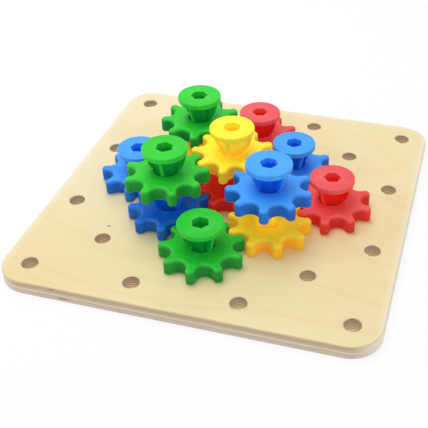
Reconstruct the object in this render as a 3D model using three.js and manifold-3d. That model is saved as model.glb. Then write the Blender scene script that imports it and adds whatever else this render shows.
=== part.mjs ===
// A gear board toy for small children: a square plywood board with twenty-five through
// holes, and thirteen plastic gears standing in it on two storeys. Each gear is a thick
// nine-toothed wheel keyed onto a ribbed knob. The knob has a round stub below, which
// turns in a board hole or in the hexagonal socket of the gear underneath.
// Millimetres, +Z up, the origin at the middle of the board's underside.
import * as THREE from 'three';
import { mergeVertices } from 'three/addons/utils/BufferGeometryUtils.js';
import Module from 'manifold-3d';

// The mesh that the thirteen wheels share.
const gearSpacing = 60; // centre distance of two meshing gears
const toothCount = 9;
const addendum = 4.5; // a tooth's height outside the pitch circle
const rootClearance = 0.9; // a gap is this much deeper than a tooth is high
const toothGapShare = 0.334; // radius of a gap's arc over the circular pitch

// The board.
const boardThickness = 12;
const boardMargin = 22.7; // from the outermost holes' centres to the board's edge
const boardCornerRadius = 25;
const boardEdgeEase = 1.2; // eased top and bottom edges

// A wheel.
const wheelThickness = 12.5;
const wheelEdgeRound = 1.1;
const boreRingDepth = 3; // the round counterbore where the post enters the wheel
const boreRingLip = 0.2; // the counterbore reaches this far past the key bore's corners
const wheelFloor = 3; // the wheel's floor, which the post stands on

// A knob: a flat disc on a hexagonal post with four ribs, and the stub below the post.
const neckHeight = 16.7; // from the wheel's top face to the disc's underside
const discRadius = 18.4;
const discThickness = 4.7;
const discEdgeRound = 0.8;
const socketAcrossFlats = 12.4;
const postWall = 1.5; // the hexagonal tube's wall at its flats
const ribThickness = 2;
const ribTopInset = 0.5; // the ribs stop this far inside the disc's rim
const ribFootReach = 1.7; // the ribs' feet reach this far past the post's corners
const ribBelly = 1; // how far a rib's outer edge bows out
const joinDepth = 0.6; // how far the knob's own parts run into each other
const stubShort = 1.3; // the stub ends this far above the board's underside
const stubChamfer = 0.8;
const socketSpare = 1.3; // a socket is this much deeper than a stub is long

// Fits.
const runGap = 0.3; // under each wheel, and under the ribs' feet
const keyGap = 0.3; // round the post in its key bore, and round the stub below it
const socketFit = 0.3; // from the stub to the flats of a socket
const holeFit = 0.5; // from the stub to the wall of a board hole
const overrun = 1; // how far every cutter runs past the face that it cuts

// Counts.
const latticeReach = 3; // lattice steps from the board's middle to the outermost holes
const arcSteps = 4; // straight steps in each tooth's tip and in each gap
const cornerSteps = 6; // straight steps in each corner of the board
const holeSides = 16;
const boreSides = 18;
const discSides = 24;
const hexSides = 6;
const ribPlates = 2; // each plate crosses the post and makes two opposite ribs
const ribSteps = 4; // straight steps along a rib's bowed edge

const green = '#2db932';
const blue = '#3c8cf0';
const yellow = '#ffe032';
const red = '#eb3c41';
const birch = '#ecd9ad';

// Where the gears stand: steps along the two diagonals of the hole lattice, and the
// whole tooth pitches that turn a gear on, past the turn at which it first meshes.
const lowerGears = [
  { place: 'front', a: -1, b: -1, colour: green, teethOn: 0 },
  { place: 'front_right', a: 0, b: -1, colour: yellow, teethOn: 0 },
  { place: 'right', a: 1, b: -1, colour: red, teethOn: -4 },
  { place: 'front_left', a: -1, b: 0, colour: blue, teethOn: 0 },
  { place: 'centre', a: 0, b: 0, colour: red, teethOn: 0 },
  { place: 'back_right', a: 1, b: 0, colour: blue, teethOn: -5 },
  { place: 'left', a: -1, b: 1, colour: blue, teethOn: -4 },
  { place: 'back_left', a: 0, b: 1, colour: yellow, teethOn: 0 },
  { place: 'back', a: 1, b: 1, colour: red, teethOn: -4 },
];
const upperGears = [
  { place: 'top_centre', a: 0, b: 0, colour: yellow, teethOn: 0 },
  { place: 'top_front_left', a: -1, b: 0, colour: green, teethOn: 2 },
  { place: 'top_front_right', a: 0, b: -1, colour: blue, teethOn: 1 },
  { place: 'top_back_left', a: 0, b: 1, colour: green, teethOn: -3 },
];
const lowerStart = { a: -1, b: -1, turn: 232 }; // the front gear and its turn in degrees
const upperStart = { a: 0, b: 0, turn: 272 }; // the upper middle gear and its turn
const rowAngle = { a: 45, b: 135 }; // directions of the two diagonals in degrees

// Worked out from these.
const fullTurn = 360;
const halfTurn = 180;
const toothPitch = fullTurn / toothCount; // in degrees
const circularPitch = (Math.PI * gearSpacing) / toothCount;
const wheelRadius = gearSpacing / 2 + addendum;
const rootRadius = gearSpacing / 2 - addendum - rootClearance;
const gapArcRadius = circularPitch * toothGapShare;
const latticeStep = gearSpacing / Math.SQRT2;
const boardSide = 2 * (latticeReach * latticeStep + boardMargin);

const cornersOf = (acrossFlats) => acrossFlats / Math.sqrt(3);
const postAcrossFlats = socketAcrossFlats + 2 * postWall;
const keyAcrossFlats = postAcrossFlats + 2 * keyGap;
const boreRingRadius = cornersOf(keyAcrossFlats) + boreRingLip;
const stubRadius = socketAcrossFlats / 2 - socketFit;
const boardHoleRadius = stubRadius + holeFit;
const floorHoleRadius = stubRadius + keyGap;
const stubLength = boardThickness - stubShort; // below the face that the gear stands on
const socketDepth = stubLength + socketSpare;
const ribTopReach = discRadius - ribTopInset;
const ribFootRadius = cornersOf(postAcrossFlats) + ribFootReach;

// Heights in a gear's own frame, whose zero is the face that the gear stands on.
const wheelBottom = runGap;
const wheelTop = wheelBottom + wheelThickness;
const keyFloor = wheelBottom + wheelFloor;
const postBottom = keyFloor + runGap;
const ribFoot = wheelTop + runGap;
const discBottom = wheelTop + neckHeight;
const discTop = discBottom + discThickness;

const wasm = await Module();
wasm.setup();

const rad = (degrees) => THREE.MathUtils.degToRad(degrees);
const polar = (radius, angle) => new THREE.Vector2(
  radius * Math.cos(angle),
  radius * Math.sin(angle),
);

// A closed solid of a geometry's triangles, without the ones that have no area.
function solid(geometry) {
  const bare = geometry.index ? geometry.toNonIndexed() : geometry.clone();
  bare.deleteAttribute('normal');
  bare.deleteAttribute('uv');
  const joined = mergeVertices(bare);
  const corners = [];
  for (let k = 0; k < joined.index.count; k += 3) {
    const [p, q, r] = [0, 1, 2].map((step) => joined.index.getX(k + step));
    if (p !== q && q !== r && r !== p) corners.push(p, q, r);
  }
  return new wasm.Manifold(new wasm.Mesh({
    numProp: 3,
    vertProperties: new Float32Array(joined.attributes.position.array),
    triVerts: new Uint32Array(corners),
  }));
}

function geometryOf(manifold) {
  const mesh = manifold.getMesh();
  const geometry = new THREE.BufferGeometry();
  geometry.setAttribute('position', new THREE.BufferAttribute(mesh.vertProperties, 3));
  geometry.setIndex(new THREE.BufferAttribute(mesh.triVerts, 1));
  const faceted = geometry.toNonIndexed();
  faceted.computeVertexNormals();
  return faceted;
}

// An upright prism of a closed outline between two heights.
function prism(points, low, high) {
  const geometry = new THREE.ExtrudeGeometry(new THREE.Shape(points), {
    depth: high - low,
    bevelEnabled: false,
  });
  geometry.translate(0, 0, low);
  return solid(geometry);
}

// The same with both rims chamfered inwards.
function easedPrism(points, low, high, ease) {
  const geometry = new THREE.ExtrudeGeometry(new THREE.Shape(points), {
    depth: high - low - 2 * ease,
    bevelEnabled: true,
    bevelThickness: ease,
    bevelSize: ease,
    bevelOffset: -ease,
    bevelSegments: 1,
  });
  geometry.translate(0, 0, low + ease);
  return solid(geometry);
}

// A solid turned about the Z axis, from [radius, height] points that start and end on it.
function turned(profile, sides) {
  const points = profile.map(([radius, height]) => new THREE.Vector2(radius, height));
  const geometry = new THREE.LatheGeometry(points, sides);
  geometry.rotateX(Math.PI / 2);
  return solid(geometry);
}

function cylinder(radius, low, high, sides) {
  return turned([[0, low], [radius, low], [radius, high], [0, high]], sides);
}

function hexagon(acrossFlats) {
  return Array.from({ length: hexSides }, (unused, k) => (
    polar(cornersOf(acrossFlats), rad((fullTurn * k) / hexSides))
  ));
}

// Each tooth ends in a round arc that runs tangent into the round gaps beside it.
function wheelOutline() {
  const half = rad(toothPitch / 2);
  const gapCentre = rootRadius + gapArcRadius;
  const along = gapCentre * Math.cos(half);
  const aside = gapCentre * Math.sin(half);
  const back = wheelRadius - along;
  const tipArcRadius = (back ** 2 + aside ** 2 - gapArcRadius ** 2)
    / (2 * (gapArcRadius + back));
  const tipCentre = wheelRadius - tipArcRadius;
  const tipSpan = Math.atan2(aside, along - tipCentre); // each side of the tooth's axis
  const gapSpan = tipSpan - half; // each side of the gap's axis
  const points = [];
  for (let tooth = 0; tooth < toothCount; tooth += 1) {
    const toothAngle = rad(toothPitch * tooth);
    for (let k = 0; k < arcSteps; k += 1) {
      const point = polar(tipArcRadius, tipSpan * ((2 * k) / arcSteps - 1));
      point.x += tipCentre;
      points.push(point.rotateAround(new THREE.Vector2(), toothAngle));
    }
    for (let k = 0; k < arcSteps; k += 1) {
      const point = polar(gapArcRadius, Math.PI + gapSpan * (1 - (2 * k) / arcSteps));
      point.x += gapCentre;
      points.push(point.rotateAround(new THREE.Vector2(), toothAngle + half));
    }
  }
  return points;
}

function wheelSolid() {
  const body = easedPrism(wheelOutline(), wheelBottom, wheelTop, wheelEdgeRound);
  const ring = cylinder(boreRingRadius, wheelTop - boreRingDepth, wheelTop + overrun, boreSides);
  const key = prism(hexagon(keyAcrossFlats), keyFloor, wheelTop + overrun);
  const floorHole = cylinder(floorHoleRadius, wheelBottom - overrun, keyFloor + overrun, holeSides);
  return body.subtract(ring).subtract(key).subtract(floorHole);
}

// An upright plate across the post. Its two outer edges bow out between disc and wheel.
function ribPlate(turn) {
  const edge = Array.from({ length: ribSteps + 1 }, (unused, k) => {
    const rise = k / ribSteps;
    const reach = ribFootRadius + (ribTopReach - ribFootRadius) * rise;
    return new THREE.Vector2(
      reach + ribBelly * Math.sin(Math.PI * rise),
      ribFoot + (discBottom - ribFoot) * rise,
    );
  });
  edge.push(new THREE.Vector2(ribTopReach, discBottom + joinDepth));
  const mirrored = edge.map((point) => new THREE.Vector2(-point.x, point.y)).reverse();
  const geometry = new THREE.ExtrudeGeometry(new THREE.Shape([...edge, ...mirrored]), {
    depth: ribThickness,
    bevelEnabled: false,
  });
  geometry.translate(0, 0, -ribThickness / 2);
  geometry.rotateX(Math.PI / 2);
  geometry.rotateZ(rad(turn));
  return solid(geometry);
}

function knobSolid() {
  const rim = discRadius - discEdgeRound;
  let knob = turned([
    [0, discBottom],
    [rim, discBottom],
    [discRadius, discBottom + discEdgeRound],
    [discRadius, discTop - discEdgeRound],
    [rim, discTop],
    [0, discTop],
  ], discSides);
  knob = knob.add(prism(hexagon(postAcrossFlats), postBottom, discBottom + joinDepth));
  for (let k = 0; k < ribPlates; k += 1) {
    knob = knob.add(ribPlate((halfTurn * k) / ribPlates));
  }
  knob = knob.add(turned([
    [0, -stubLength],
    [stubRadius - stubChamfer, -stubLength],
    [stubRadius, stubChamfer - stubLength],
    [stubRadius, postBottom + joinDepth],
    [0, postBottom + joinDepth],
  ], holeSides));
  return knob.subtract(prism(hexagon(socketAcrossFlats), discTop - socketDepth, discTop + overrun));
}

function boardSolid() {
  const cornerCentre = boardSide / 2 - boardCornerRadius;
  const outline = [];
  for (let corner = 0; corner < 4; corner += 1) {
    const startAngle = (Math.PI / 2) * corner;
    for (let k = 0; k <= cornerSteps; k += 1) {
      const point = polar(boardCornerRadius, ((Math.PI / 2) * k) / cornerSteps);
      point.addScalar(cornerCentre);
      outline.push(point.rotateAround(new THREE.Vector2(), startAngle));
    }
  }
  let board = easedPrism(outline, 0, boardThickness, boardEdgeEase);
  // Two square grids of holes, the smaller one in the middles of the larger one's squares.
  for (let u = -latticeReach; u <= latticeReach; u += 1) {
    for (let v = -latticeReach; v <= latticeReach; v += 1) {
      if ((u - v) % 2 === 0) {
        const hole = cylinder(boardHoleRadius, -overrun, boardThickness + overrun, holeSides);
        board = board.subtract(hole.translate([u * latticeStep, v * latticeStep, 0]));
      }
    }
  }
  return board;
}

// Stepping from a gear to the next one along a row, the tooth of one faces the gap of
// the other, and the two turn opposite ways.
function meshedTurn(start, gear) {
  const across = { a: Math.abs(gear.a - start.a), b: Math.abs(gear.b - start.b) };
  let turn = start.turn;
  for (const row of ['a', 'b']) {
    for (let k = 0; k < across[row]; k += 1) {
      turn = 2 * rowAngle[row] + halfTurn + toothPitch / 2 - turn;
    }
  }
  return turn + gear.teethOn * toothPitch;
}

const plastic = (colour) => new THREE.MeshStandardMaterial({
  color: colour,
  roughness: 0.42,
  metalness: 0,
});

const toy = new THREE.Group();

const board = new THREE.Mesh(
  geometryOf(boardSolid()),
  new THREE.MeshStandardMaterial({ color: birch, roughness: 0.6, metalness: 0 }),
);
board.name = 'plywood_board';
toy.add(board);

const wheelGeometry = geometryOf(wheelSolid());
const knobGeometry = geometryOf(knobSolid());

function addStorey(gears, start, height) {
  for (const gear of gears) {
    const unit = new THREE.Group();
    const wheel = new THREE.Mesh(wheelGeometry, plastic(gear.colour));
    wheel.name = `${gear.place}_gear_wheel`;
    const knob = new THREE.Mesh(knobGeometry, plastic(gear.colour));
    knob.name = `${gear.place}_gear_knob`;
    unit.add(wheel, knob);
    unit.position.set(
      latticeStep * (gear.a - gear.b),
      latticeStep * (gear.a + gear.b),
      height,
    );
    unit.rotation.z = rad(meshedTurn(start, gear));
    toy.add(unit);
  }
}

addStorey(lowerGears, lowerStart, boardThickness);
addStorey(upperGears, upperStart, boardThickness + discTop);

export default toy;
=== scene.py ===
# %% [markdown]
# # A gear board toy
#
# The object is a square board of birch plywood, drilled with twenty-five holes, and thirteen
# chunky plastic gears that stand in it on two storeys. Each gear is two mouldings: a thick
# nine-toothed wheel, and a ribbed knob whose flat disc has a hexagonal socket in its top.
# This lesson loads the measured model first, and then dresses it piece by piece.

# %% Load the measured model
import math

import bmesh
import bpy
from mathutils import Matrix, Vector


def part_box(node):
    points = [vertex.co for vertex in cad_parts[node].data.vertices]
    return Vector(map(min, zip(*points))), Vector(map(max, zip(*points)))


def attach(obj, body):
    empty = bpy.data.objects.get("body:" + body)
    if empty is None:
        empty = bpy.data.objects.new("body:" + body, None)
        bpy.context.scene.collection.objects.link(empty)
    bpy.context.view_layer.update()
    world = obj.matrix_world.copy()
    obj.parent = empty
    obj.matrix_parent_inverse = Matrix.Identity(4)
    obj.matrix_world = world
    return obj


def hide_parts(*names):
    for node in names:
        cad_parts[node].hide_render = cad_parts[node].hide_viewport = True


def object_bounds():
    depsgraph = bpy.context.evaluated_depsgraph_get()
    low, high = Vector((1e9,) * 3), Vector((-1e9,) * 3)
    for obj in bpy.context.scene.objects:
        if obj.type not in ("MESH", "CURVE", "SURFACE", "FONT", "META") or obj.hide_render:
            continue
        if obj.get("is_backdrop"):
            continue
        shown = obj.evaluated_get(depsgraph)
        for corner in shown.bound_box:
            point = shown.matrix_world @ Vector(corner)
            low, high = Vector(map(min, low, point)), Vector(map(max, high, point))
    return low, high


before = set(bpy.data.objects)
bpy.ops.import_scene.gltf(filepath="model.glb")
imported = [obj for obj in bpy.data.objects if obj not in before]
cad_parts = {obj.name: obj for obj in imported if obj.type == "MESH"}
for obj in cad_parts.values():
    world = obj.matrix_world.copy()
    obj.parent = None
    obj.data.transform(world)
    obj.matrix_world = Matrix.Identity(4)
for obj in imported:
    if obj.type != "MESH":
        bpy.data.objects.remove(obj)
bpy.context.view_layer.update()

# %% [markdown]
# The sizes below are those of the measured model, in millimetres, apart from the roundings. The
# model's solids have few faces, and a moulding is softer. Everything in Blender is in metres, so
# each size is multiplied by one unit, MM, where it is written.

# %% Sizes
MM = 0.001

BOARD_THICK = 12 * MM
BOARD_CORNER = 25 * MM
HOLE_RADIUS = 6.4 * MM
HOLE_REACH = 3  # lattice steps from the middle to the outermost holes
HOLES_WITHIN = 136 * MM  # no hole comes farther out than this along X or Y

GEAR_SPACING = 60 * MM
TEETH = 9
WHEEL_RADIUS = GEAR_SPACING / 2 + 4.5 * MM
ROOT_RADIUS = GEAR_SPACING / 2 - 5.4 * MM
GAP_ARC = 0.334 * math.pi * GEAR_SPACING / TEETH
WHEEL_LOW = 0.3 * MM
WHEEL_TOP = 12.8 * MM

SOCKET_FLATS = 12.4 * MM
POST_FLATS = 15.4 * MM
KEY_FLATS = 16 * MM
STUB_RADIUS = 5.9 * MM
STUB_LENGTH = 10.7 * MM
SOCKET_DEPTH = 12 * MM
DISC_RADIUS = 18.4 * MM
DISC_LOW = 29.5 * MM
DISC_TOP = 34.2 * MM

BOARD_ROUND, HOLE_ROUND = 1.4 * MM, 0.35 * MM
WHEEL_ROUND, WHEEL_FOOT_ROUND, RING_ROUND = 2.8 * MM, 1.2 * MM, 0.45 * MM
DISC_ROUND, POST_ROUND, STUB_ROUND, RIB_ROUND = 0.9 * MM, 0.55 * MM, 0.9 * MM, 0.5 * MM
SOCKET_ROUND, SOCKET_MOUTH_ROUND = 0.35 * MM, 0.4 * MM

LATTICE = GEAR_SPACING / math.sqrt(2)
TOOTH_PITCH = 360 / TEETH


def corner_radius(flats):
    """From the middle of a hexagon to its corners."""
    return flats / math.sqrt(3)


print("lattice step", round(LATTICE / MM, 3), "mm, gap arc", round(GAP_ARC / MM, 3), "mm")

# %% [markdown]
# ## The camera
#
# The photograph was measured against the lattice of holes, which gives the lens, the place of the
# camera and its tilt. The lens axis doesn't go through the middle of the picture but a little to
# its right, so the camera needs a small sideways shift.

# %% Camera
PICTURE = 428  # pixels, square
LENS_PIXELS = 824.5
AXIS_PIXEL = 255.35  # the column that the lens axis goes through
EYE = (176.4 * MM, -546.2 * MM, 420.8 * MM + BOARD_THICK)
TURN, DIP, ROLL = 16.06, 37.61, -0.45  # degrees: to the left, down and sideways

lens = bpy.data.cameras.new("photo_camera")
lens.sensor_width = 36
lens.lens = LENS_PIXELS / PICTURE * lens.sensor_width
lens.shift_x = -(AXIS_PIXEL - PICTURE / 2) / PICTURE
lens.clip_start = 0.01
camera = bpy.data.objects.new("photo_camera", lens)
bpy.context.scene.collection.objects.link(camera)
camera.location = EYE
turn, tilt, roll = (
    Matrix.Rotation(math.radians(angle), 3, axis)
    for angle, axis in ((TURN, "Z"), (90 - DIP, "X"), (ROLL, "Z"))
)
camera.rotation_euler = (turn @ tilt @ roll).to_euler()
bpy.context.scene.camera = camera
print("lens", round(lens.lens, 2), "mm, shift", round(lens.shift_x, 4))

# %% [markdown]
# ## Node helpers
#
# A procedural material is a small circuit. These helpers keep its wiring short: they add a node,
# do sums on sockets, map one range to another, mix colours and make noise. A node group is built
# once, with named inputs and outputs, and is then placed in every material that needs its effect.


# %% Node helpers
def node(tree, kind, links=(), values=(), **settings):
    """Adds a shader node. links gives (input, socket) pairs, values gives (input, number) pairs."""
    made = tree.nodes.new("ShaderNode" + kind)
    for key, value in settings.items():
        setattr(made, key, value)
    for key, value in values:
        made.inputs[key].default_value = value
    for key, socket in links:
        tree.links.new(socket, made.inputs[key])
    return made


def feed(tree, inputs, values):
    """Gives a node's inputs their values, each a socket to wire up or a plain value."""
    for key, value in values:
        if isinstance(value, bpy.types.NodeSocket):
            tree.links.new(value, inputs[key])
        else:
            inputs[key].default_value = value


def maths(tree, operation, *terms, clamp=False):
    """A Math node on sockets or plain numbers, or a chain of them for more than two terms."""
    if len(terms) > 2:
        terms = (maths(tree, operation, *terms[:-1]), terms[-1])
    made = node(tree, "Math", operation=operation, use_clamp=clamp)
    feed(tree, made.inputs, enumerate(terms))
    return made.outputs[0]


def vectors(tree, operation, *terms):
    """A Vector Math node on sockets or plain vectors."""
    made = node(tree, "VectorMath", operation=operation)
    feed(tree, made.inputs, enumerate(terms))
    return made.outputs["Value" if operation in ("DISTANCE", "LENGTH") else "Vector"]


def parts(tree, vector):
    """The X, Y and Z of a vector, as sockets by name."""
    return node(tree, "SeparateXYZ", [("Vector", vector)]).outputs


def spread(tree, value, low, high, to_low=0.0, to_high=1.0):
    """Maps a value from one range to another, held at both ends."""
    made = node(tree, "MapRange", [("Value", value)], [
        ("From Min", low), ("From Max", high), ("To Min", to_low), ("To Max", to_high),
    ])
    return made.outputs["Result"]


def blend(tree, factor, first, second):
    """Mixes two colours, each a socket or four numbers."""
    made = node(tree, "Mix", data_type="RGBA")
    feed(tree, made.inputs, ((0, factor), (6, first), (7, second)))
    return made.outputs[2]


def object_place(tree):
    """Where a point lies on the object."""
    return node(tree, "TexCoord").outputs["Object"]


def mapped(tree, place, scale, turned=0.0, moved=(0, 0, 0)):
    """A place scaled along each axis, turned about Z by degrees and moved."""
    made = node(tree, "Mapping", [("Vector", place)], [
        ("Location", moved), ("Rotation", (0, 0, math.radians(turned))), ("Scale", scale),
    ])
    return made.outputs["Vector"]


def noise(tree, place, scale, detail, roughness, distortion=0.0, output="Fac"):
    """Noise, mostly between 0.3 and 0.7."""
    made = node(tree, "TexNoise", [("Vector", place)], [
        ("Scale", scale), ("Detail", detail), ("Roughness", roughness), ("Distortion", distortion),
    ])
    return made.outputs[output]


def attribute(tree, name):
    """A number that the mesh carries at each of its corners."""
    return node(tree, "Attribute", attribute_name=name).outputs["Fac"]


def oval(tree, place, centre, half):
    """How far out a place is in an oval: one on its outline. Sizes are in millimetres."""
    away = vectors(tree, "SUBTRACT", place, tuple(part * MM for part in centre))
    return vectors(tree, "LENGTH", vectors(
        tree, "MULTIPLY", away, tuple(1 / (part * MM) for part in half)))


def new_group(name, inputs, outputs):
    """An empty node group, with what comes in and what goes out as sockets by name."""
    group = bpy.data.node_groups.new(name, "ShaderNodeTree")
    for label, value in inputs.items():
        kind = "Color" if isinstance(value, tuple) else "Float"
        socket = group.interface.new_socket(label, in_out="INPUT", socket_type="NodeSocket" + kind)
        socket.default_value = value
    for label, kind in outputs.items():
        group.interface.new_socket(label, in_out="OUTPUT", socket_type="NodeSocket" + kind)
    return (group, group.nodes.new("NodeGroupInput").outputs,
            group.nodes.new("NodeGroupOutput").inputs)


def place_group(tree, group, values):
    """Places a node group with its own values, and gives its outputs."""
    made = node(tree, "Group", node_tree=group)
    feed(tree, made.inputs, values.items())
    return made.outputs


def rgb(red, green, blue):
    """A colour as seen on a screen, 0 to 255, as the linear numbers that shaders use."""
    shares = [value / 255 for value in (red, green, blue)]
    return (*(share / 12.92 if share <= 0.04045 else ((share + 0.055) / 1.055) ** 2.4
              for share in shares), 1.0)


WHITE = (1, 1, 1, 1)
GREY = (0.5, 0.5, 0.5, 1)
print("white on screen:", rgb(255, 255, 255), "mid grey:", round(rgb(128, 128, 128)[0], 3))

# %% [markdown]
# ## Light and floor
#
# The toy was photographed in a white studio with broad soft light. An even white world gives half
# of it, and four soft lamps give the rest: a large box overhead makes the tops of the discs bright,
# one behind lights the far rims, and two weak panels in front open the shade on the flanks. The
# world is plain white only where the camera, a reflection or glass sees it, and dimmer as a
# light, so that pale wood doesn't clip.


# %% World
def seen_ray(tree):
    """One for a ray that sees a thing: from the camera, off a gloss or through glass."""
    rays = node(tree, "LightPath").outputs
    return maths(tree, "MAXIMUM", rays["Is Camera Ray"], rays["Is Glossy Ray"],
                 rays["Is Transmission Ray"])


WORLD_LIGHT = 0.41
WORLD_TINT = (0.97, 0.985, 1, 1)

world = bpy.data.worlds.new("white_studio")
bpy.context.scene.world = world
world.use_nodes = True
sky = world.node_tree
sky.nodes.clear()
seen = node(sky, "Background", (), [("Color", WHITE), ("Strength", 1)])
lit = node(sky, "Background", (), [("Color", WORLD_TINT), ("Strength", WORLD_LIGHT)])
choose = node(sky, "MixShader", [(0, seen_ray(sky)), (1, lit.outputs[0]), (2, seen.outputs[0])])
node(sky, "OutputWorld", [("Surface", choose.outputs[0])])
print("world nodes:", len(sky.nodes))

# %% Lamps
LAMP_AIM = Vector((0, 0, 30 * MM))
WARM_WHITE = (1, 0.99, 0.97)

for name, place, size, watts, colour in (
    ("overhead_softbox", (-0.3, 0.15, 1.5), 1.0, 12.1, WARM_WHITE),
    ("back_softbox", (-0.4, 1.22, 1), 1.2, 3, (1, 1, 1)),
    ("left_panel", (-1.3, -0.5, 0.6), 0.9, 2.6, WARM_WHITE),
    ("right_panel", (1.0, -0.9, 0.6), 0.9, 2.3, (1, 1, 1)),
):
    light = bpy.data.lights.new(name, "AREA")
    light.shape = "SQUARE"
    light.size = size
    light.energy = watts
    light.color = colour
    lamp = bpy.data.objects.new(name, light)
    bpy.context.scene.collection.objects.link(lamp)
    lamp.location = place
    lamp.rotation_euler = (LAMP_AIM - Vector(place)).to_track_quat("-Z", "Y").to_euler()
    print("lamp:", name, watts, "W")

# %% [markdown]
# The floor is a big white plane. In the photograph it is burnt out to plain white, so most of what
# the camera sees of it is a white that gives off its own light, and the rest is a diffuse
# white that keeps a soft shadow next to the board. Under the board it is a light table: a weak
# warm light comes up through the holes, and their walls grow lighter towards their feet.

# %% Floor
FLOOR_SIDE = 8  # metres
FLOOR_SHADOW = 0.16  # how much of the floor's look is its lit surface
TABLE_LIGHT = (0.52, 0.45, 0.35, 1)  # the floor's own light under the board
TABLE_LIFT = 2.5  # how much stronger that light falls on the walls of the holes

bpy.ops.object.select_all(action="DESELECT")
bpy.ops.mesh.primitive_plane_add(size=FLOOR_SIDE, location=(0, 0, 0))
floor = bpy.context.active_object
floor.name = "studio_floor"
floor_paint = bpy.data.materials.new("studio_white")
floor_paint.use_nodes = True
ground = floor_paint.node_tree
ground.nodes.clear()
seen = seen_ray(ground)
spot = parts(ground, vectors(ground, "ABSOLUTE", object_place(ground)))
table = maths(ground, "LESS_THAN", maths(ground, "MAXIMUM", spot["X"], spot["Y"]), HOLES_WITHIN)
matte = node(ground, "BsdfDiffuse", (), [("Color", WHITE)])
glow = node(ground, "Emission", [
    ("Color", blend(ground, table, WHITE, TABLE_LIGHT)),
    ("Strength", spread(ground, seen, 0, 1, TABLE_LIFT, 1)),
])
bright = maths(ground, "MAXIMUM", maths(ground, "MULTIPLY", seen, 1 - FLOOR_SHADOW), table)
choose = node(ground, "MixShader", [(0, bright), (1, matte.outputs[0]), (2, glow.outputs[0])])
node(ground, "OutputMaterial", [("Surface", choose.outputs[0])])
floor.data.materials.append(floor_paint)
floor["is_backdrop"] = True

bpy.context.scene.view_settings.view_transform = "Standard"
print("floor nodes:", len(ground.nodes))

# %% [markdown]
# ## Fine scuffs, for wood and plastic
#
# A toy that has been handled carries hairline scratches. Noise that is stretched a hundredfold in
# one direction makes long thin streaks, and only its highest ridges are kept. Three such sets
# cross each other, and a slow cloud decides where they show. Both finishes use this group.

# %% Scuff group
scuffs, scuffs_in, scuffs_out = new_group("hairline_scuffs", {"Size": 1.0}, {"Mask": "Float"})
sized = vectors(scuffs, "MULTIPLY", object_place(scuffs), scuffs_in["Size"])
sets = []
for lean, seed in ((24, 3.1), (-51, 8.7), (78, 5.3)):
    stretched = mapped(scuffs, sized, (14, 1500, 60), lean, (seed, seed / 2, 0))
    sets.append(spread(scuffs, noise(scuffs, stretched, 1.0, 1.0, 0.4), 0.69, 0.75))
patches = spread(scuffs, noise(scuffs, sized, 42.0, 2.0, 0.5), 0.45, 0.62)
crossed = maths(scuffs, "MULTIPLY", maths(scuffs, "MAXIMUM", *sets), patches)
scuffs.links.new(crossed, scuffs_out["Mask"])
print("scuff group nodes:", len(scuffs.nodes))

# %% [markdown]
# ## Moulded plastic
#
# The gears are a soft, satin polyolefin, coloured right through. Up close its colour drifts a
# little where the pigment flowed, and its skin has a very fine orange peel from the mould. The
# rounded edges get a painted highlight in a paler colour. It reads an attribute, rim, that each
# piece carries: one on the rounded edges and nought on the flats. A second attribute paints shade:
# it makes some of the gears, those that stand in shade, deeper in colour than others.
#
# Shade is painted into the colour too: walls are deeper than tops, the necks are coloured as if in
# the shade of their discs, and the teeth darken towards their feet. Two measures find these places:
# how far a point is from the axis of its gear, and how high it is in its storey. A faint glow in
# each plastic's own colour is painted light that brightens the shade where no lamp reaches.

# %% Moulded skin group
SURFACE = {"Colour": "Color", "Roughness": "Float", "Height": "Float"}
TONES = ("Colour", "DeepAndShade", "NeckShade", "FootShade", "Pale", "Soaked")
DISC_SEAM = (DISC_LOW - 0.1 * MM, DISC_LOW + 0.1 * MM)  # where the neck ends and the disc begins
CELL_MIDDLE = (0.5, 0.5, 0)

skin, skin_in, skin_out = new_group(
    "moulded_skin", {**dict.fromkeys(TONES, GREY), "Roughness": 0.4}, {**SURFACE, "Glow": "Color"})
here = object_place(skin)
facing = parts(skin, node(skin, "NewGeometry").outputs["Normal"])
wall = maths(skin, "SUBTRACT", 1.0, maths(skin, "ABSOLUTE", facing["Z"]))
rim = attribute(skin, "rim")
off_rim = maths(skin, "SUBTRACT", 1.0, rim)
# painted shade: how much deeper a gear's colour is, where the gear stands in shade
shade_depth = attribute(skin, "shade_depth")

# two measures of a place: how high it is in its storey, and how far from the axis of its gear
above_board = maths(skin, "SUBTRACT", parts(skin, here)["Z"], BOARD_THICK + 0.1 * MM)
storey = maths(skin, "FRACT", maths(skin, "DIVIDE", above_board, DISC_TOP))
along_rows = mapped(skin, here, (1 / GEAR_SPACING, 1 / GEAR_SPACING, 0), -45, CELL_MIDDLE)
off_axis = vectors(skin, "DISTANCE", vectors(skin, "FRACTION", along_rows), CELL_MIDDLE)


def at_height(low, high, to_low=0.0, to_high=1.0):
    """A value that changes between two heights in a storey."""
    return spread(skin, storey, low / DISC_TOP, high / DISC_TOP, to_low, to_high)


def away_by(low, high, to_low=0.0, to_high=1.0):
    """A value that changes between two distances from the axis of a gear."""
    return spread(skin, off_axis, low / GEAR_SPACING, high / GEAR_SPACING, to_low, to_high)


# the colour drifts in clouds, its own tone; walls, but not the side of a disc, get painted shade,
# deeper than tops
clouds = noise(skin, here, 46.0, 3.0, 0.55, 0.8)
wall_shade = maths(skin, "MULTIPLY", spread(skin, wall, 0.0, 1.0, 0.06, 0.84),
             at_height(*DISC_SEAM, 1.0, 0.08))
drift = maths(skin, "ADD", spread(skin, clouds, 0.38, 0.72, -0.06, 0.16), wall_shade, shade_depth, clamp=True)
colour = blend(skin, drift, skin_in["Colour"], skin_in["DeepAndShade"])
# painted shade: the neck is coloured as if it stood in the shade of its disc
neck_shade = maths(skin, "MULTIPLY", away_by(15 * MM, 9.2 * MM), away_by(7.2 * MM, 7.5 * MM),
             at_height(15 * MM, DISC_LOW - MM, 1.0, 0.45), at_height(*DISC_SEAM, 1.0, 0.0), off_rim)
colour = blend(skin, neck_shade, colour, skin_in["NeckShade"])
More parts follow.
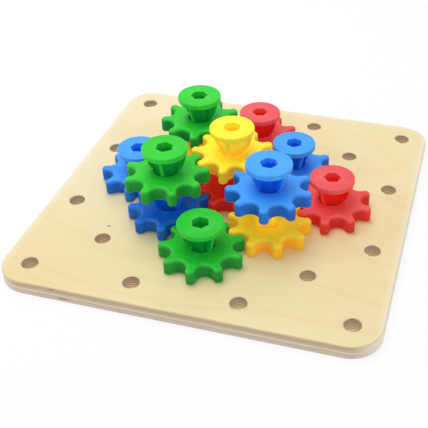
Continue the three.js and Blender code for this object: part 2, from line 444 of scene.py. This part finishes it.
# painted shade: a tooth's flank darkens towards its foot, most of all inside the gaps
foot_shade = maths(skin, "MULTIPLY", wall, at_height(0.0, WHEEL_TOP, 1.0, 0.3),
             away_by(25 * MM, 31 * MM, 0.95, 0.4), away_by(20 * MM, 23 * MM),
             at_height(WHEEL_TOP, WHEEL_TOP + 0.2 * MM, 1.0, 0.0))
# painted shade: a ring of it lies round the post where it enters the wheel
sole_shade = maths(skin, "MULTIPLY", spread(skin, wall, 0.3, 0.8),
             at_height(WHEEL_TOP - MM, WHEEL_TOP + 6 * MM, 0.42, 0.0),
             away_by(13 * MM, 12 * MM), off_rim)
colour = blend(skin, maths(skin, "MAXIMUM", foot_shade, sole_shade), colour, skin_in["FootShade"])
# specks and hairlines are paler than the rest, and the rounded rims get a painted highlight
hairlines = place_group(skin, scuffs, {"Size": 1.0})["Mask"]
specks = spread(skin, noise(skin, here, 620.0, 2.0, 0.6), 0.56, 0.78, 0.0, 0.14)
rim_sheen = spread(skin, noise(skin, here, 130.0, 3.0, 0.6), 0.3, 0.7, 0.1, 0.26)
for share in (specks, maths(skin, "MULTIPLY", rim, rim_sheen), maths(skin, "MULTIPLY", hairlines, 0.16)):
    colour = blend(skin, share, colour, skin_in["Pale"])
skin.links.new(colour, skin_out["Colour"])

# painted light: a glow in the plastic's own colour, weaker on the gears with painted shade
lit_share = maths(skin, "MULTIPLY", spread(skin, shade_depth, 0.0, 1.0, 1.0, 0.6),
                  spread(skin, clouds, 0.3, 0.7, 1.1, 0.85))
skin.links.new(blend(skin, lit_share, (0, 0, 0, 1), skin_in["Soaked"]), skin_out["Glow"])

satin = maths(skin, "ADD", skin_in["Roughness"], spread(skin, clouds, 0.3, 0.7, -0.04, 0.05),
              maths(skin, "MULTIPLY", hairlines, 0.12), maths(skin, "MULTIPLY", rim, -0.04),
              clamp=True)
skin.links.new(satin, skin_out["Roughness"])

peel = maths(skin, "MULTIPLY", noise(skin, here, 950.0, 2.0, 0.5), 0.35)
relief = maths(skin, "ADD", peel, noise(skin, here, 120.0, 1.0, 0.4))
relief = maths(skin, "SUBTRACT", relief, maths(skin, "MULTIPLY", hairlines, 0.25))
skin.links.new(relief, skin_out["Height"])
print("moulded skin nodes:", len(skin.nodes))


# %% Finishes
def finish(name, group, inputs, strength, distance, settings):
    """A material that wears a group. What is the same all over is set on the shader itself."""
    paint = bpy.data.materials.new(name)
    paint.use_nodes = True
    tree = paint.node_tree
    shader = tree.nodes["Principled BSDF"].inputs
    surface = place_group(tree, group, inputs)
    relief = node(tree, "Bump", [("Height", surface["Height"])], [
        ("Strength", strength), ("Distance", distance),
    ])
    feed(tree, shader, [
        ("Base Color", surface["Colour"]), ("Roughness", surface["Roughness"]),
        ("Normal", relief.outputs["Normal"]), *settings.items(),
    ])
    if "Glow" in surface:
        tree.links.new(surface["Glow"], shader["Emission Color"])
    return paint


# %% The four plastics
# colours on screen for all tones but the last: the colour, a deeper one that also gives the painted
# shade of walls, the painted shade of necks and of feet, and a pale one for specks, hairlines and
# the painted highlight on rims. The last, a glow that is painted light in the shade, is given in
# linear numbers. Then how much light scatters under the skin, and how far in each colour
PLASTICS = {
    "green": (
        (44, 208, 42), (10, 152, 42), (8, 146, 56), (2, 78, 32), (120, 234, 120),
        (0, 0.055, 0.008, 1), 0.15, (0.05, 0.4, 0.08)),
    "blue": (
        (72, 170, 252), (8, 100, 220), (10, 86, 216), (0, 56, 104), (118, 194, 255),
        (0, 0.018, 0.11, 1), 0.15, (0.05, 0.15, 0.4)),
    "yellow": (
        (248, 232, 46), (242, 200, 30), (255, 238, 84), (236, 94, 12), (255, 246, 140),
        (0.26, 0.15, 0.005, 1), 0.0, (1, 0.5, 0.1)),
    "red": (
        (222, 96, 100), (214, 18, 10), (218, 40, 30), (150, 6, 4), (255, 160, 160),
        (0.2, 0.003, 0.001, 1), 0.0, (1, 0.1, 0.06)),
}
plastics = {}
for name, (*screen, shade_glow, scattered, reach) in PLASTICS.items():
    tones = dict(zip(TONES, [*(rgb(*tone) for tone in screen), shade_glow]))
    plastics[name] = finish(
        f"{name}_plastic", skin, {**tones, "Roughness": 0.36}, 0.35, 0.06 * MM, {
            "IOR": 1.49, "Specular IOR Level": 0.13, "Emission Strength": 1,
            "Subsurface Weight": scattered, "Subsurface Radius": reach,
            "Subsurface Scale": 10 * MM,
        })
print("plastics:", sorted(plastics))

# %% [markdown]
# ## Birch plywood
#
# Two finishes make a plywood board. The faces are a rotary-cut birch veneer: pale, with broad
# soft figure where the knife crossed the growth rings, and fine pores along the grain, which runs
# across the board. It is warmer at the near left corner. Towards the other edges the face is
# painted paler, as where light falls on it. The edges and the walls of the holes show the plies.
# Their grain is crossed by turns, so a ply that shows long pale fibres in front shows dark end
# grain at the side.

# %% Veneer group
GRAIN_LEAN = 4  # degrees between the fibres and the front edge
FIGURE_LEAN = 7  # the same for the broad figure
FIGURE_BANDS = 15
GRAIN_WANDER = 30 * MM  # how strongly noise bends the grain
KNOT_PLACE, KNOT_HALF = (-86.4, -68.6, 0), (1.5, 0.9, math.inf)

veneer, veneer_in, veneer_out = new_group(
    "birch_veneer", dict.fromkeys(("Pale", "Warm", "Dark", "LitBrim"), GREY), SURFACE)
here = object_place(veneer)
wander = vectors(veneer, "SUBTRACT", noise(veneer, here, 9.0, 2.0, 0.5, output="Color"),
                 (0.5, 0.5, 0.5))
bent = vectors(veneer, "ADD", here, vectors(veneer, "MULTIPLY", wander, (GRAIN_WANDER,) * 3))

figure = noise(veneer, mapped(veneer, bent, (3.4, 13, 1), FIGURE_LEAN, (0.3, 1.7, 0)),
               1.0, 1.0, 0.35)
bands = maths(veneer, "PINGPONG", maths(veneer, "MULTIPLY", figure, FIGURE_BANDS), 1.0)
fibres = noise(veneer, mapped(veneer, bent, (34, 1300, 1), GRAIN_LEAN), 1.0, 3.0, 0.6)
pores = noise(veneer, mapped(veneer, bent, (210, 1900, 1), GRAIN_LEAN, (5, 2, 0)), 1.0, 1.0, 0.5)
pores = spread(veneer, pores, 0.66, 0.76)
warmth = maths(veneer, "ADD", maths(veneer, "MULTIPLY", spread(veneer, bands, 0.55, 1.0), 0.2),
               spread(veneer, noise(veneer, here, 11.0, 2.0, 0.5), 0.35, 0.7, 0.0, 0.34),
               spread(veneer, fibres, 0.35, 0.7, -0.06, 0.2))
face = blend(veneer, maths(veneer, "MAXIMUM", warmth, 0.0, clamp=True),
             veneer_in["Pale"], veneer_in["Warm"])
spot = parts(veneer, here)
near_corner = maths(veneer, "MULTIPLY", spread(veneer, spot["X"], 60 * MM, -120 * MM),
                    spread(veneer, spot["Y"], 0.0, -140 * MM, 0.0, 0.34))

# one small pin knot, left of the middle hole of the left side, with a faint halo
from_knot = oval(veneer, here, KNOT_PLACE, KNOT_HALF)
# painted light: the face is painted paler towards the left, right and back edges; its left part is
# paler too
outward = maths(veneer, "MAXIMUM", maths(veneer, "ABSOLUTE", spot["X"]), spot["Y"])
leftward = maths(veneer, "MULTIPLY", spread(veneer, spot["X"], -60 * MM, -150 * MM),
                 spread(veneer, spot["Y"], -110 * MM, 40 * MM, 0.0, 0.3))
lit_brim = maths(veneer, "ADD", spread(veneer, outward, 143 * MM, 149.5 * MM, 0.0, 0.5), leftward)
for share, tone in (
    (near_corner, "Warm"),
    (maths(veneer, "MULTIPLY", pores, 0.16), "Dark"),
    (spread(veneer, from_knot, 0.8, 4.2, 0.35, 0.0), "Warm"),
    (spread(veneer, from_knot, 0.55, 1.15, 0.9, 0.0), "Dark"),
    (lit_brim, "LitBrim"),
):
    face = blend(veneer, share, face, veneer_in[tone])
veneer.links.new(face, veneer_out["Colour"])

hairlines = place_group(veneer, scuffs, {"Size": 0.8})["Mask"]
sheen = maths(veneer, "ADD", spread(veneer, fibres, 0.3, 0.7, 0.4, 0.52),
              maths(veneer, "MULTIPLY", hairlines, 0.08))
veneer.links.new(sheen, veneer_out["Roughness"])
lift = maths(veneer, "SUBTRACT", maths(veneer, "MULTIPLY", fibres, 0.5), pores)
veneer.links.new(lift, veneer_out["Height"])
print("veneer nodes:", len(veneer.nodes))

# %% [markdown]
# The plies come from the height alone. A table says where each one begins and how dark it looks in
# the front edge, and two colour ramps turn it into bands and into the thin glue lines between
# them. How much end grain shows depends on which way the wall faces, and the surface normal
# tells that. The drill has left fine light rings in the holes, a little over two millimetres
# apart. Light and shade are painted on too: the walls of the holes are lighter and darken towards
# the top, and the side walls and the eased rims away from the front are pale as if lit.

# %% Ply group
# where each ply begins, from the underside up, and how dark its grain is in the front edge
PLY_TABLE = (
    (0, 0.2), (0.9 * MM, 0.55), (2.9 * MM, 0.05), (3.9 * MM, 0.95), (4.7 * MM, 0.0),
    (7.2 * MM, 0.72), (9.2 * MM, 0.88), (10.9 * MM, 0.4),
)
GLUE_REACH = 0.16 * MM
SKIN_PLY, SKIN_FADE = 0.75 * MM, 0.25 * MM  # the two faces' veneer, and where it ends softly
RING_PITCH = 2.3 * MM  # from one light ring in a hole's wall to the next
# a filled split in the front edge and a short dark one near the top face: middle and half widths
SPLITS = (((-89, -150, 3.5), (5.5, 4, 0.5)), ((-98, -150, 10.7), (2.6, 4, 0.35)))

plies, plies_in, plies_out = new_group("crossed_plies", dict.fromkeys((
    "Face", "Long", "End", "Glue", "Cool", "SideLight", "BoreLight", "Split"), GREY), SURFACE)
here = object_place(plies)
spot = parts(plies, here)
height = spot["Z"]
wobble = spread(plies, noise(plies, here, 55.0, 2.0, 0.5), 0.3, 0.7, -0.016, 0.016)
level = maths(plies, "ADD", maths(plies, "DIVIDE", height, BOARD_THICK), wobble)
layers = node(plies, "ValToRGB", [("Fac", level)])
joints = node(plies, "ValToRGB", [("Fac", level)])
layers.color_ramp.interpolation = "CONSTANT"
for start, darkness in PLY_TABLE:
    stop = (layers.color_ramp.elements.new(start / BOARD_THICK) if start > 0
            else layers.color_ramp.elements[0])
    stop.color = (darkness, darkness, darkness, 1)
    if start > 0:
        for side, glue in ((-GLUE_REACH, 0), (0, 1), (GLUE_REACH, 0)):
            stop = joints.color_ramp.elements.new((start + side) / BOARD_THICK)
            stop.color = (glue, glue, glue, 1)
layers.color_ramp.elements.remove(layers.color_ramp.elements[-1])
joints.color_ramp.elements[0].color = (0, 0, 0, 1)
joints.color_ramp.elements[-1].color = (0, 0, 0, 1)
crossed = layers.outputs["Color"]

facing = parts(plies, node(plies, "NewGeometry").outputs["True Normal"])
sideways = maths(plies, "POWER", maths(plies, "ABSOLUTE", facing["X"]), 2.0)
forward = maths(plies, "SUBTRACT", 1.0, sideways)
end_share = maths(plies, "ADD", maths(plies, "MULTIPLY", crossed, forward), maths(
    plies, "MULTIPLY", maths(plies, "SUBTRACT", 1.0, crossed), sideways))
long_grain = noise(plies, mapped(plies, here, (70, 70, 2600)), 1.0, 3.0, 0.6)
end_grain = noise(plies, here, 1500.0, 2.0, 0.6)
long_colour = blend(plies, spread(plies, long_grain, 0.35, 0.7, 0.0, 0.5),
                    plies_in["Long"], plies_in["End"])
end_colour = blend(plies, spread(plies, end_grain, 0.4, 0.7, 0.0, 0.35),
                   plies_in["End"], plies_in["Glue"])
layered = blend(plies, end_share, long_colour, end_colour)

glue_line = maths(plies, "MULTIPLY", joints.outputs["Color"], 0.45)
split = maths(plies, "MAXIMUM", *(
    spread(plies, maths(plies, "ADD", oval(plies, here, centre, half),
                        spread(plies, end_grain, 0.3, 0.7, -0.3, 0.3)), 0.5, 1.1, 0.85, 0.0)
    for centre, half in SPLITS
))
# the outermost plies are the two faces' own veneer
from_top = maths(plies, "SUBTRACT", BOARD_THICK, height)
skin_ply = maths(plies, "MAXIMUM", *(
    spread(plies, depth, SKIN_PLY, SKIN_PLY + SKIN_FADE, 1.0, 0.0) for depth in (from_top, height)))
# the holes are drilled clean. Thin light rings run round them. Their walls are painted lighter,
# as if lit, and painted shade darkens them towards the top
outward = maths(plies, "MAXIMUM", maths(plies, "ABSOLUTE", spot["X"]),
                maths(plies, "ABSOLUTE", spot["Y"]))
bore = maths(plies, "MULTIPLY", spread(plies, outward, HOLES_WITHIN, HOLES_WITHIN + 2 * MM, 1, 0),
             spread(plies, from_top, 0.4 * MM, 0.9 * MM, 0.15, 1.0))
rings = maths(plies, "SINE", maths(plies, "MULTIPLY", height, math.tau / RING_PITCH))
between = maths(plies, "MULTIPLY", spread(plies, rings, 0.0, 0.9, 0.55, 0.0),
                spread(plies, height, 6 * MM, 9 * MM, 1.0, 0.6))
between = maths(plies, "ADD", between, spread(plies, height, 5 * MM, 11.6 * MM, 0.0, 0.4))
# painted light: the eased rims away from the front and the walls at both sides are painted pale
lit_edges = maths(plies, "MULTIPLY", attribute(plies, "rim"),
              maths(plies, "MAXIMUM", sideways, spread(plies, facing["Y"], 0.0, 0.4)))
lit_edges = maths(plies, "MAXIMUM", lit_edges, spread(plies, facing["X"], 0.25, 0.95),
              maths(plies, "MULTIPLY", facing["X"], -0.72))
lit_edges = maths(plies, "MULTIPLY", lit_edges, maths(plies, "SUBTRACT", 1.0, bore))
bore_light = maths(plies, "MULTIPLY", bore, spread(plies, end_share, 0.2, 0.8, 0.95, 0.65))
for share, tone in (
    (spread(plies, height, 0.0, 10 * MM, 0.7, 0.0), "Cool"),
    (glue_line, "Glue"),
    (maths(plies, "MULTIPLY", skin_ply, 0.6), "Face"),
    (bore_light, "BoreLight"),
    (maths(plies, "MULTIPLY", bore, between), "Glue"),
    (lit_edges, "SideLight"),
    (split, "Split"),
):
    layered = blend(plies, share, layered, plies_in[tone])
plies.links.new(layered, plies_out["Colour"])
plies.links.new(spread(plies, end_grain, 0.3, 0.7, 0.5, 0.66), plies_out["Roughness"])
relief = maths(plies, "SUBTRACT", end_grain, maths(plies, "MULTIPLY", glue_line, 1.4),
               maths(plies, "MULTIPLY", split, 3.0))
plies.links.new(relief, plies_out["Height"])
print("ply nodes:", len(plies.nodes))

# %% Wood materials
LACQUER = {"IOR": 1.45}
birch_face = finish("birch_veneer_face", veneer, {
    "Pale": rgb(246, 230, 181), "Warm": rgb(234, 206, 146), "Dark": rgb(112, 78, 44),
    "LitBrim": rgb(252, 243, 222),
}, 0.25, 0.05 * MM, LACQUER)
birch_edge = finish("birch_ply_edge", plies, {
    "Face": rgb(222, 196, 146), "Long": rgb(250, 232, 206), "End": rgb(206, 180, 140),
    "Glue": rgb(132, 100, 66), "Cool": rgb(222, 214, 204), "SideLight": rgb(255, 244, 228),
    "BoreLight": rgb(240, 224, 198), "Split": rgb(58, 46, 38),
}, 0.4, 0.08 * MM, LACQUER)

# %% [markdown]
# ## Editing helpers
#
# Each piece is modelled as by hand: a primitive, then edit mode. An operator works on all that is
# selected, so these helpers first deselect everything, and then select vertices or edges by
# their place.


# %% Editing helpers
SMOOTH_UP_TO = 35  # degrees between two faces
WALL_TILT, FLAT_TILT = 0.12, 0.97  # a face that looks up by less is a wall, by more is flat


def alone(thing):
    """Leaves only this object selected and active."""
    bpy.ops.object.select_all(action="DESELECT")
    thing.select_set(True)
    bpy.context.view_layer.objects.active = thing


def just_added(name):
    """The object that an operator has just added, named, with its place put in its mesh."""
    thing = bpy.context.active_object
    thing.name = name
    thing.data.name = name
    alone(thing)
    bpy.ops.object.transform_apply(location=True, rotation=True, scale=True)
    return thing


def edit(thing):
    """Opens an object in edit mode."""
    alone(thing)
    bpy.ops.object.mode_set(mode="EDIT")


def done():
    """Closes edit mode."""
    bpy.ops.object.mode_set(mode="OBJECT")


def pick(what, test):
    """In edit mode: selects the vertices or edges that pass a test, and counts them."""
    bpy.ops.mesh.select_mode(type={"verts": "VERT", "edges": "EDGE"}[what])
    bpy.ops.mesh.select_all(action="DESELECT")
    mesh = bpy.context.active_object.data
    shape = bmesh.from_edit_mesh(mesh)
    count = 0
    for part in getattr(shape, what):
        corners = [part.co] if what == "verts" else [corner.co for corner in part.verts]
        if test(part, corners):
            part.select_set(True)
            count += 1
    shape.select_flush_mode()
    bmesh.update_edit_mesh(mesh)
    return count


def level_at(corners, height):
    """True if all the corners lie at one height."""
    return all(abs(corner.z - height) < 0.02 * MM for corner in corners)


def levels(*heights):
    """A test for edges that lie at one of these heights."""
    return lambda edge, ends: any(level_at(ends, height) for height in heights)


def upright(edge, ends):
    """A test for edges that climb."""
    return abs(ends[0].z - ends[1].z) > MM


def at_wall(edge):
    """True if a steep face meets the edge."""
    return any(abs(face.normal.z) < 0.5 for face in edge.link_faces)


def round_off(thing, test, offset, segments):
    """Bevels the edges that pass a test, and counts them."""
    edit(thing)
    count = pick("edges", test)
    bpy.ops.mesh.bevel(offset=offset, segments=segments, affect="EDGES")
    done()
    return count


def drum(name, radius, low, high, sides, turned=0.0, place=(0, 0)):
    """An upright cylinder or prism between two heights."""
    bpy.ops.object.select_all(action="DESELECT")
    bpy.ops.mesh.primitive_cylinder_add(
        vertices=sides, radius=radius, depth=high - low, location=(*place, (low + high) / 2),
        rotation=(0, 0, math.radians(turned)),
    )
    return just_added(name)


def combine(thing, tool, operation):
    """Cuts a tool out of a piece, or joins it on, and removes the tool."""
    alone(thing)
    change = thing.modifiers.new(operation.lower(), "BOOLEAN")
    change.operation = operation
    change.solver = "EXACT"
    change.object = tool
    bpy.ops.object.modifier_apply(modifier=change.name)
    bpy.data.objects.remove(tool, do_unlink=True)


def smooth(thing):
    """Smooth shading, with flat faces kept flat next to rounded edges."""
    alone(thing)
    bpy.ops.object.shade_smooth_by_angle(angle=math.radians(SMOOTH_UP_TO))
    weigh = thing.modifiers.new("weigh", "WEIGHTED_NORMAL")
    weigh.keep_sharp = True
    bpy.ops.object.modifier_apply(modifier=weigh.name)


def mark_rims(thing):
    """Writes the attribute rim: one on rounded edges, nought on upright walls and flat faces."""
    mesh = thing.data
    total = [0.0] * len(mesh.vertices)
    count = [0] * len(mesh.vertices)
    for face in mesh.polygons:
        rounded = WALL_TILT < abs(face.normal.z) < FLAT_TILT
        for corner in face.vertices:
            total[corner] += rounded
            count[corner] += 1
    rim = mesh.attributes.new("rim", "FLOAT", "POINT")
    for index, amount in enumerate(total):
        rim.data[index].value = amount / max(count[index], 1)


# %% [markdown]
# ## The board
#
# A cube becomes the board: its four upright edges are bevelled to round corners, a set of
# cylinders on the two square lattices is cut out of it, and then the rims are eased. The
# eased edge is what separates a sanded toy from a sawn board.

# %% Board
PAST = 2 * MM  # how far a cutting tool sticks out of the piece
HOLE_SIDES = 56

low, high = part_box("plywood_board")
side = high[0] - low[0]
bpy.ops.object.select_all(action="DESELECT")
bpy.ops.mesh.primitive_cube_add(size=1, location=(0, 0, BOARD_THICK / 2),
                                scale=(side, side, BOARD_THICK))
board = just_added("birch_board")
round_off(board, upright, BOARD_CORNER, 14)

steps = range(-HOLE_REACH, HOLE_REACH + 1)
drills = [
    drum("drill", HOLE_RADIUS, -PAST, BOARD_THICK + PAST, HOLE_SIDES,
         place=(x * LATTICE, y * LATTICE))
    for x in steps for y in steps if (x - y) % 2 == 0
]
alone(drills[0])
for bit in drills:
    bit.select_set(True)
bpy.ops.object.join()
combine(board, drills[0], "DIFFERENCE")


def mouth(edge, ends):
    """A test for the edges between the board's two faces and its walls."""
    return levels(0, BOARD_THICK)(edge, ends) and len(edge.link_faces) == 2 and at_wall(edge)


def outer_mouth(edge, ends):
    """The same, but only out in the strip where the corners are round."""
    middle = (ends[0] + ends[1]) / 2
    return mouth(edge, ends) and max(abs(middle.x), abs(middle.y)) > side / 2 - BOARD_CORNER


rims = round_off(board, outer_mouth, BOARD_ROUND, 4)
mouths = round_off(board, mouth, HOLE_ROUND, 2)
mark_rims(board)
board.data.materials.append(birch_face)
board.data.materials.append(birch_edge)
for face in board.data.polygons:
    face.material_index = 0 if abs(face.normal.z) > 0.98 else 1
smooth(board)
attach(board, "board")
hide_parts("plywood_board")
print("board:", rims, "rim edges,", mouths, "mouth edges,", len(board.data.polygons), "faces")

# %% [markdown]
# ## The wheel
#
# A tooth of this wheel is two arcs that run into each other: a convex one round the tip, and a
# concave one round the middle of the gap. Spin draws both. One point is spun round the tip's
# centre and then, the other way, round the gap's centre. The pair is spun round the wheel
# in nine copies, merged, filled and pulled up to a thick slab.

# %% Arcs of a tooth
half_pitch = math.radians(TOOTH_PITCH / 2)
gap_centre = ROOT_RADIUS + GAP_ARC
along = gap_centre * math.cos(half_pitch)
aside = gap_centre * math.sin(half_pitch)
back = WHEEL_RADIUS - along
tip_arc = (back ** 2 + aside ** 2 - GAP_ARC ** 2) / (2 * (GAP_ARC + back))
tip_centre = WHEEL_RADIUS - tip_arc
tip_span = math.atan2(aside, along - tip_centre)
gap_span = tip_span - half_pitch
print("tip arc", round(tip_arc / MM, 2), "mm over", round(math.degrees(2 * tip_span)), "degrees")

# %% Wheel
TIP_STEPS, GAP_STEPS = 14, 12

bpy.ops.object.select_all(action="DESELECT")
bpy.ops.mesh.primitive_plane_add(size=GAP_ARC, location=(0, 0, 0))
wheel = just_added("wheel_pattern")
edit(wheel)
bpy.ops.mesh.select_mode(type="VERT")
bpy.ops.mesh.select_all(action="SELECT")
bpy.ops.mesh.merge(type="CENTER")
start = (tip_centre + tip_arc * math.cos(tip_span), -tip_arc * math.sin(tip_span), WHEEL_LOW)
bpy.ops.transform.translate(value=start)
bpy.ops.mesh.spin(steps=TIP_STEPS, angle=-2 * tip_span, center=(tip_centre, 0, 0), axis=(0, 0, 1))
bpy.ops.mesh.spin(steps=GAP_STEPS, angle=2 * gap_span, center=(along, aside, 0), axis=(0, 0, 1))
bpy.ops.mesh.select_all(action="SELECT")
bpy.ops.mesh.spin(steps=TEETH, dupli=True, angle=math.tau, center=(0, 0, 0), axis=(0, 0, 1))
bpy.ops.mesh.select_all(action="SELECT")
bpy.ops.mesh.remove_doubles(threshold=0.005 * MM)
bpy.ops.mesh.edge_face_add()
bpy.ops.mesh.extrude_region_move(
    TRANSFORM_OT_translate={"value": (0, 0, WHEEL_TOP - WHEEL_LOW)})
bpy.ops.mesh.select_all(action="SELECT")
bpy.ops.mesh.normals_make_consistent(inside=False)
for level, offset, segments in ((WHEEL_TOP, WHEEL_ROUND, 6), (WHEEL_LOW, WHEEL_FOOT_ROUND, 4)):
    pick("edges", levels(level))
    bpy.ops.mesh.bevel(offset=offset, segments=segments, affect="EDGES")
done()
print("wheel slab:", len(wheel.data.vertices), "vertices")

# %% [markdown]
# The bore has three steps: a round ring at the top, the hexagonal key bore that turns the wheel
# with the knob, and a round hole for the stub. The top ring gets a small rounded mouth.

# %% Bore
RING_RADIUS = corner_radius(KEY_FLATS) + 1.1 * MM
RING_DEPTH = 3 * MM
KEY_FLOOR = WHEEL_LOW + 3 * MM
HEX_TURN = 30  # degrees, so that two corners of a hexagon lie along X

for tool in (
    drum("ring", RING_RADIUS, WHEEL_TOP - RING_DEPTH, WHEEL_TOP + PAST, 72),
    drum("key", corner_radius(KEY_FLATS), KEY_FLOOR, WHEEL_TOP, 6, HEX_TURN),
    drum("stub_hole", STUB_RADIUS + 0.3 * MM, -PAST, WHEEL_TOP, 48),
):
    combine(wheel, tool, "DIFFERENCE")
round_off(wheel, lambda edge, ends: (
    level_at(ends, WHEEL_TOP) and at_wall(edge)
    and (ends[0].xy.length + ends[1].xy.length) / 2 < RING_RADIUS * 1.02
), RING_ROUND, 3)
mark_rims(wheel)
smooth(wheel)
print("wheel:", len(wheel.data.polygons), "faces")

# %% [markdown]
# ## The knob
#
# The knob is built the way its mould is cut: a disc, a hexagonal post with rounded corners, two
# crossing plates that make the four ribs, and the round stub below. The plates begin
# as thin boxes. Each level of corners is drawn in by its own amount, so the ribs run in a
# slightly bowed line from the disc's rim down to the wheel.

# %% Disc, post and stub
knob = drum("knob_pattern", DISC_RADIUS, DISC_LOW, DISC_TOP, 96)
round_off(knob, levels(DISC_LOW, DISC_TOP), DISC_ROUND, 4)

post = drum("post", corner_radius(POST_FLATS), KEY_FLOOR + 0.3 * MM, DISC_LOW + 0.8 * MM,
            6, HEX_TURN)
round_off(post, upright, POST_ROUND, 4)
combine(knob, post, "UNION")

stub = drum("stub", STUB_RADIUS, -STUB_LENGTH, WHEEL_LOW + 4 * MM, 56)
round_off(stub, levels(-STUB_LENGTH), STUB_ROUND, 4)
combine(knob, stub, "UNION")
print("knob core:", len(knob.data.polygons), "faces")

# %% Ribs
RIB_THICK = 2.8 * MM
RIB_DRAFT = 0.92  # how thick the foot is against the head
RIB_FOOT = WHEEL_TOP + 0.3 * MM
RIB_HEAD = DISC_LOW + 0.5 * MM
RIB_FOOT_REACH = corner_radius(POST_FLATS) + 1.7 * MM
RIB_HEAD_REACH = DISC_RADIUS - 0.6 * MM
RIB_BOW = 0.55  # under one, the outline bows outwards
RIB_LEVELS = 10


def rib_plate(turned):
    """An upright plate through the post, narrowed level by level, with rounded outer edges."""
    bpy.ops.object.select_all(action="DESELECT")
    bpy.ops.mesh.primitive_cube_add(
        size=1, location=(0, 0, (RIB_FOOT + RIB_HEAD) / 2),
        scale=(2 * RIB_HEAD_REACH, RIB_THICK, RIB_HEAD - RIB_FOOT),
    )
    plate = just_added("rib_plate")
    edit(plate)
    pick("edges", upright)
    bpy.ops.mesh.subdivide(number_cuts=RIB_LEVELS - 1)
    for step in range(RIB_LEVELS):
        rise = step / RIB_LEVELS
        height = RIB_FOOT + (RIB_HEAD - RIB_FOOT) * rise
        reach = RIB_FOOT_REACH + (RIB_HEAD_REACH - RIB_FOOT_REACH) * rise ** RIB_BOW
        draft = RIB_DRAFT + (1 - RIB_DRAFT) * rise
        pick("verts", lambda corner, places: level_at(places, height))
        bpy.ops.transform.resize(value=(reach / RIB_HEAD_REACH, draft, 1),
                                 center_override=(0, 0, height))
    done()
    round_off(plate, upright, RIB_ROUND, 3)
    plate.rotation_euler = (0, 0, math.radians(turned))
    bpy.ops.object.transform_apply(location=True, rotation=True, scale=True)
    return plate


for turned in (0, 90):
    combine(knob, rib_plate(turned), "UNION")
print("knob with ribs:", len(knob.data.polygons), "faces")

# %% [markdown]
# The socket is a blind hexagonal hole. Its upright corners and its mouth are slightly rounded, as
# a moulded socket's are, and a soft shadow then lies round its edge.

# %% Socket
socket = drum("socket", corner_radius(SOCKET_FLATS), DISC_TOP - SOCKET_DEPTH, DISC_TOP + PAST,
              6, HEX_TURN)
round_off(socket, upright, SOCKET_ROUND, 3)
combine(knob, socket, "DIFFERENCE")
mouth_edges = round_off(knob, lambda edge, ends: (
    level_at(ends, DISC_TOP) and at_wall(edge)
    and max(end.xy.length for end in ends) < DISC_RADIUS / 2
), SOCKET_MOUTH_ROUND, 3)
mark_rims(knob)
smooth(knob)
print("knob:", mouth_edges, "mouth edges,", len(knob.data.polygons), "faces")

# %% [markdown]
# ## Thirteen gears
#
# Neighbouring wheels mesh, so their turns follow from each other. Seen from one gear, the next one
# along a diagonal row shows a gap where this one shows a tooth. The table adds whole teeth
# to that turn, which brings each knob's socket and ribs to where the photograph has them.

# %% Turns
ROWS = {"a": 45, "b": 135}
LOWER_START = (-1, -1, 232)  # a gear's steps along both rows, and its turn in degrees
UPPER_START = (0, 0, 272)
# name, steps along both rows, colour, teeth added to the turn, and painted shade: how much deeper
# the gear's colour is
LOWER = [
    ("front", -1, -1, "green", 0, 0.25),
    ("front_right", 0, -1, "yellow", 0, 0.45),
    ("right", 1, -1, "red", -4, 0.15),
    ("front_left", -1, 0, "blue", 0, 0.8),
    ("centre", 0, 0, "red", 0, 0.9),
    ("back_right", 1, 0, "blue", -5, 0.1),
    ("left", -1, 1, "blue", -4, 0.05),
    ("back_left", 0, 1, "yellow", 0, 0.7),
    ("back", 1, 1, "red", -4, 0.1),
]
UPPER = [
    ("top_centre", 0, 0, "yellow", 0, 0.0),
    ("top_front_left", -1, 0, "green", 2, 0.0),
    ("top_front_right", 0, -1, "blue", 1, 0.0),
    ("top_back_left", 0, 1, "green", -3, 0.0),
]


def meshed_turn(start, place, teeth_on):
    """The turn in degrees of a gear, stepping along the rows from a start (a, b, turn)."""
    turned = start[2]
    for row, steps in (("a", abs(place[0] - start[0])), ("b", abs(place[1] - start[1]))):
        for _ in range(steps):
            turned = 2 * ROWS[row] + 180 + TOOTH_PITCH / 2 - turned
    return turned + teeth_on * TOOTH_PITCH


def copy_of(pattern, name, turned, place):
    """A copy of a pattern with its own mesh, turned about Z and moved, all within the mesh."""
    alone(pattern)
    bpy.ops.object.duplicate(linked=False)
    made = bpy.context.active_object
    made.rotation_euler = (0, 0, math.radians(turned))
    made.location = place
    return just_added(name)


# %% Gears
placed = 0
for gears, start, stand in (
    (LOWER, LOWER_START, BOARD_THICK),
    (UPPER, UPPER_START, BOARD_THICK + DISC_TOP),
):
    for name, a, b, colour, teeth_on, shade_depth in gears:
        turned = meshed_turn(start, (a, b), teeth_on)
        place = (LATTICE * (a - b), LATTICE * (a + b), stand)
        for pattern, part in ((wheel, "wheel"), (knob, "knob")):
            piece = copy_of(pattern, f"{name}_moulded_{part}", turned, place)
            # painted shade: how much deeper this gear's colour is
            tone = piece.data.attributes.new("shade_depth", "FLOAT", "POINT")
            tone.data.foreach_set("value", [shade_depth] * len(piece.data.vertices))
            piece.data.materials.append(plastics[colour])
            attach(piece, f"{name}_gear")
            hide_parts(f"{name}_gear_{part}")
            placed += 1
for pattern in (wheel, knob):
    bpy.data.objects.remove(pattern, do_unlink=True)
print("gear pieces:", placed)

# %% [markdown]
# ## Measure and finish
#
# The box round the dressed model is printed.

# %% Finish
low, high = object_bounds()
print("box:", low, high)
